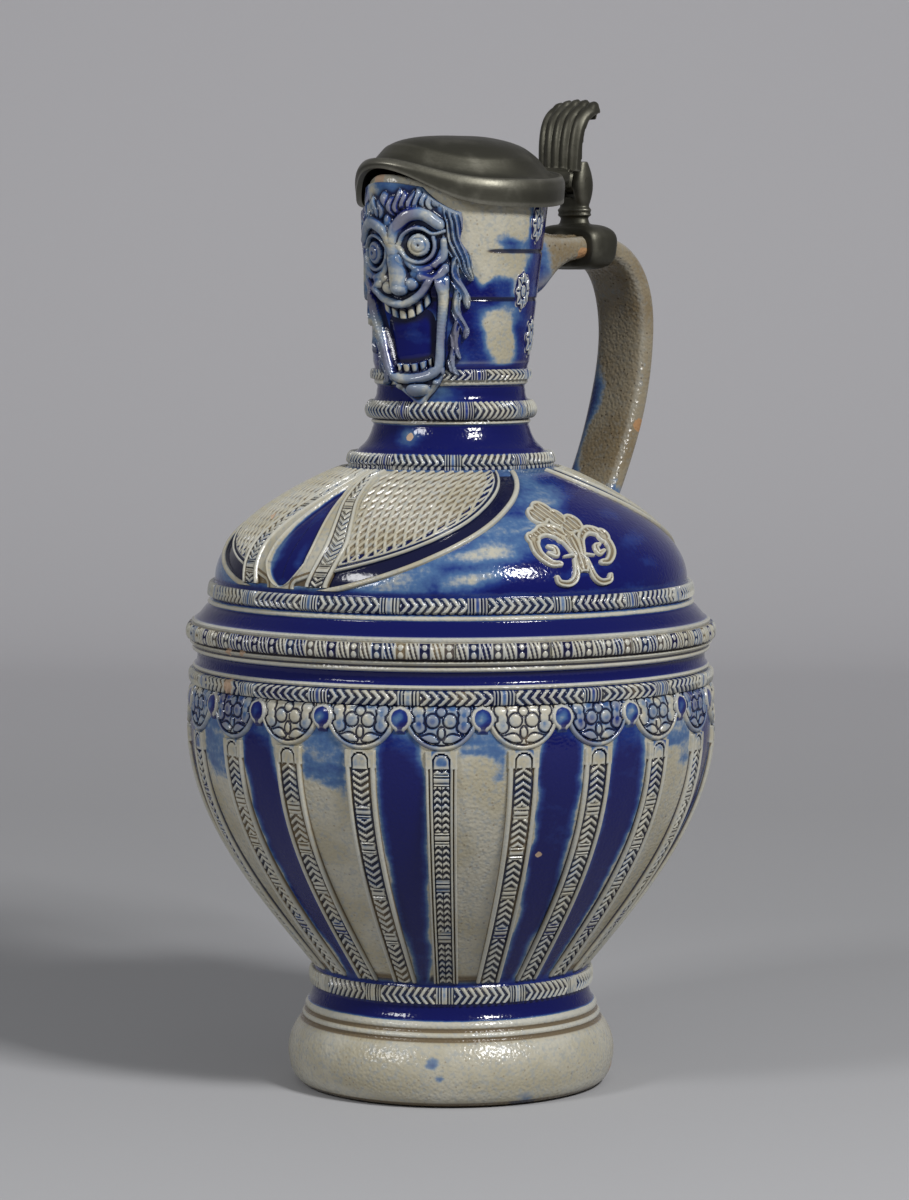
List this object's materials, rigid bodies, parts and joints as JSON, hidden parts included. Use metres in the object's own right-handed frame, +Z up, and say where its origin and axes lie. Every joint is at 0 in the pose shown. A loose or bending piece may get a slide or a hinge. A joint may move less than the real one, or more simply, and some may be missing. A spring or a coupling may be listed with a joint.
{
  "type": "lidded stoneware jug",
  "caption": "Salt-glazed stoneware jug with a moulded cobalt blue relief, a grotesque mask on the neck, a strap handle and a hinged pewter lid.",
  "frame": {"origin": "centre of the flat base that the jug stands on", "axes": "+Z up along the thrown axis, -Y towards the mask and the spout, +Y towards the handle"},
  "size_m": [0.1924, 0.1959, 0.3579],
  "materials": {
    "stoneware": "salt-glazed grey stoneware with an orange-peel skin and cobalt blue grounds",
    "cobalt_relief": "salt-glazed moulded relief, pale on its ridges and blue-black in its hollows",
    "pewter": "dark satin pewter with worn edges"
  },
  "bodies": {
    "jug": {"jug_body": "stoneware", "jug_neck": "stoneware", "handle": "stoneware", "mask": "cobalt_relief", "belly_rib_01": "stoneware", "belly_rib_02": "stoneware", "belly_rib_03": "stoneware", "belly_rib_04": "stoneware", "belly_rib_05": "stoneware", "belly_rib_06": "stoneware", "belly_rib_07": "stoneware", "belly_rib_08": "stoneware", "belly_rib_09": "stoneware", "belly_rib_10": "stoneware", "belly_rib_11": "stoneware", "belly_rib_12": "stoneware", "belly_rib_13": "stoneware", "belly_rib_14": "stoneware", "belly_rib_15": "stoneware", "belly_rib_16": "stoneware", "belly_rib_17": "stoneware", "belly_rib_18": "stoneware", "belly_rib_19": "stoneware", "belly_rib_20": "stoneware", "belly_rib_21": "stoneware", "lunette_01": "cobalt_relief", "lunette_02": "cobalt_relief", "lunette_03": "cobalt_relief", "lunette_04": "cobalt_relief", "lunette_05": "cobalt_relief", "lunette_06": "cobalt_relief", "lunette_07": "cobalt_relief", "lunette_08": "cobalt_relief", "lunette_09": "cobalt_relief", "lunette_10": "cobalt_relief", "lunette_11": "cobalt_relief", "lunette_12": "cobalt_relief", "lunette_13": "cobalt_relief", "lunette_14": "cobalt_relief", "lunette_15": "cobalt_relief", "lunette_16": "cobalt_relief", "lunette_17": "cobalt_relief", "lunette_18": "cobalt_relief", "lunette_19": "cobalt_relief", "lunette_20": "cobalt_relief", "lunette_21": "cobalt_relief", "shoulder_strip_1": "stoneware", "shoulder_strip_2": "stoneware", "shoulder_strip_3": "stoneware", "shoulder_strip_4": "stoneware", "shoulder_sprig_right": "cobalt_relief", "shoulder_sprig_left": "cobalt_relief", "neck_rosette_1": "cobalt_relief", "neck_rosette_2": "cobalt_relief", "neck_rosette_3": "cobalt_relief", "neck_rosette_4": "cobalt_relief", "handle_mount": "pewter", "hinge_pin": "pewter"},
    "lid": {"pewter_lid": "pewter", "thumbpiece": "pewter"}
  },
  "joints": [
    {"name": "lid_hinge", "type": "hinge", "parent": "jug", "child": "lid", "pos_m": [0, 0.066, 0.327], "axis": [-1, 0, 0], "range_deg": [0, 100]}
  ]
}
